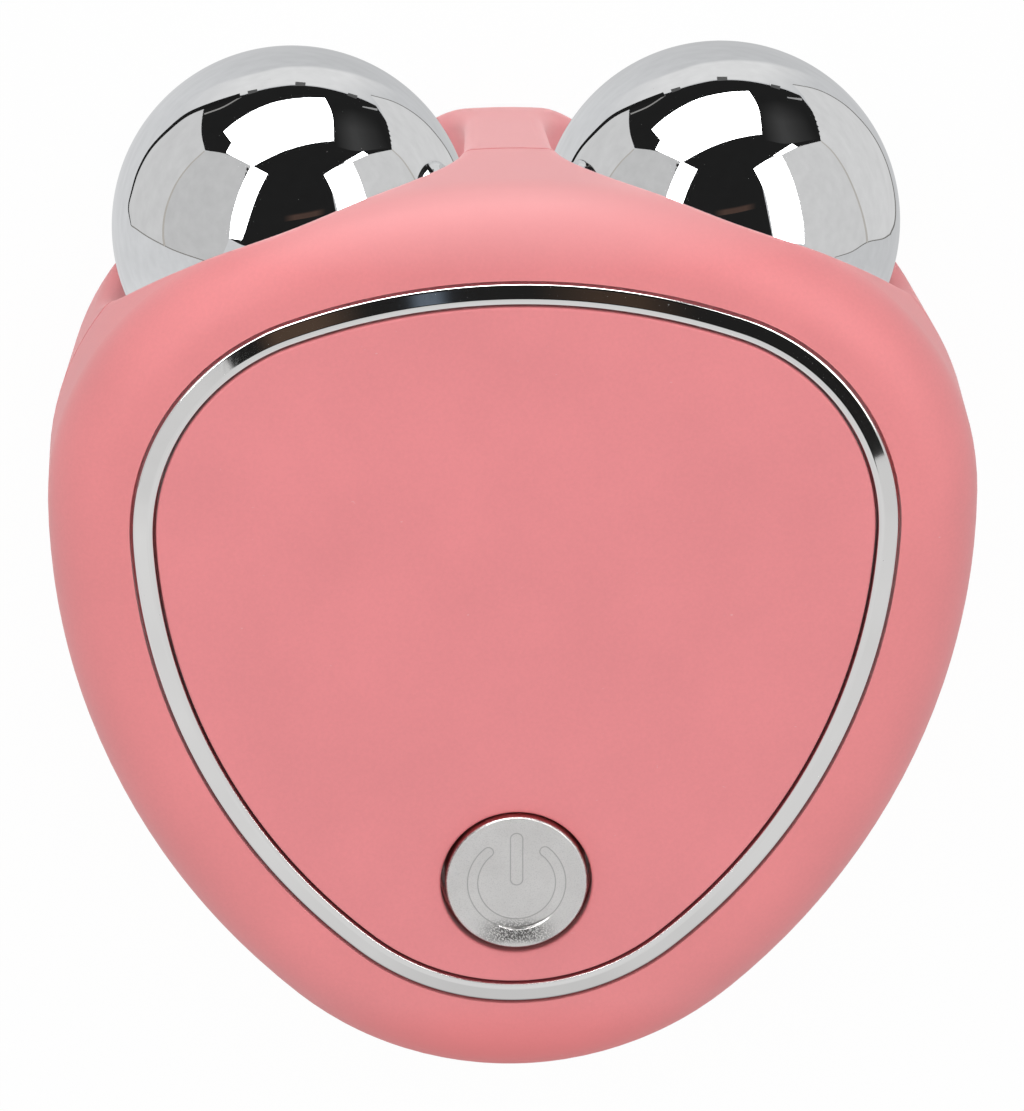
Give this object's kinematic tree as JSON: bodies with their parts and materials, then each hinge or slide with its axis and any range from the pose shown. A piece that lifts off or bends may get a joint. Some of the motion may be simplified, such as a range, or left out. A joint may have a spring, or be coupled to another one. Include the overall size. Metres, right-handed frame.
{
  "type": "facial toning device",
  "caption": "Palm-held facial toner: rounded triangular soft-touch body, chrome electrode balls rolling in scoops, chrome trim ring round an inset panel, round power button.",
  "frame": {"origin": "bottom centre of the device's box, on the surface it rests on, device lying on its back", "axes": "+Z is the face's normal, +Y points from the narrow tip to the two balls, +X is to the right seen from above"},
  "size_m": [0.06, 0.066, 0.0308],
  "materials": {
    "soft_touch_casing": "soft-touch coated ABS, matte, pink",
    "inset_panel": "soft-touch coated ABS, matte, deeper pink",
    "trim_chrome": "bright chrome plating",
    "button_metal": "satin turned face with a bright bevel",
    "ball_chrome": "mirror chrome plating",
    "bush_brass": "turned, bare",
    "shaft_steel": "ground",
    "screw_steel": "zinc plated",
    "socket_steel": "drawn, nickel plated",
    "black_plastic": "moulded, fine grain",
    "white_plastic": "moulded, natural",
    "circuit_board": "solder resist over glass laminate",
    "ferrite": "moulded ferrite",
    "cell_foil": "aluminium laminate pouch",
    "foam": "closed-cell foam",
    "lead_insulation": "silicone insulation"
  },
  "bodies": {
    "housing": {"front_shell": "soft_touch_casing", "rear_shell": "soft_touch_casing", "front_panel": "inset_panel", "trim_ring": "trim_chrome", "switch_body": "black_plastic", "main_board": "circuit_board", "controller_chip": "black_plastic", "boost_coil": "ferrite", "board_parts": "ferrite", "usb_socket": "socket_steel", "usb_tongue": "black_plastic", "battery_pad": "foam", "battery_cell": "cell_foil", "battery_connector": "white_plastic", "battery_leads": "lead_insulation", "roller_carrier": "white_plastic", "carrier_screws": "screw_steel", "shell_screws": "screw_steel", "left_roller_shaft": "shaft_steel", "left_shaft_clip": "screw_steel", "left_thrust_washer": "white_plastic", "left_contact_tab": "bush_brass", "left_shaft_nut": "screw_steel", "left_electrode_lead": "lead_insulation", "right_roller_shaft": "shaft_steel", "right_shaft_clip": "screw_steel", "right_thrust_washer": "white_plastic", "right_contact_tab": "bush_brass", "right_shaft_nut": "screw_steel", "right_electrode_lead": "lead_insulation"},
    "left_roller": {"left_roller_ball": "ball_chrome", "left_roller_bush": "bush_brass"},
    "right_roller": {"right_roller_ball": "ball_chrome", "right_roller_bush": "bush_brass"},
    "power_button": {"power_button": "button_metal"},
    "switch_plunger": {"switch_plunger": "black_plastic"}
  },
  "joints": [
    {"name": "left_roller_spin", "type": "hinge", "parent": "housing", "child": "left_roller", "pos_m": [-0.014, 0.02125, 0.0133], "axis": [-0.4226, 0.9063, 0], "continuous": true},
    {"name": "right_roller_spin", "type": "hinge", "parent": "housing", "child": "right_roller", "pos_m": [0.014, 0.02125, 0.0133], "axis": [0.4226, 0.9063, 0], "continuous": true},
    {"name": "button_press", "type": "slide", "parent": "housing", "child": "power_button", "axis": [0, 0, -1], "range_m": [0, 0.0003], "stiffness_N_per_m": 4000, "springref_m": -0.0002},
    {"name": "plunger_press", "type": "slide", "parent": "housing", "child": "switch_plunger", "axis": [0, 0, -1], "range_m": [0, 0.0003]}
  ],
  "couplings": [
    {"joint": "plunger_press", "follows": "button_press", "ratio": 1}
  ]
}
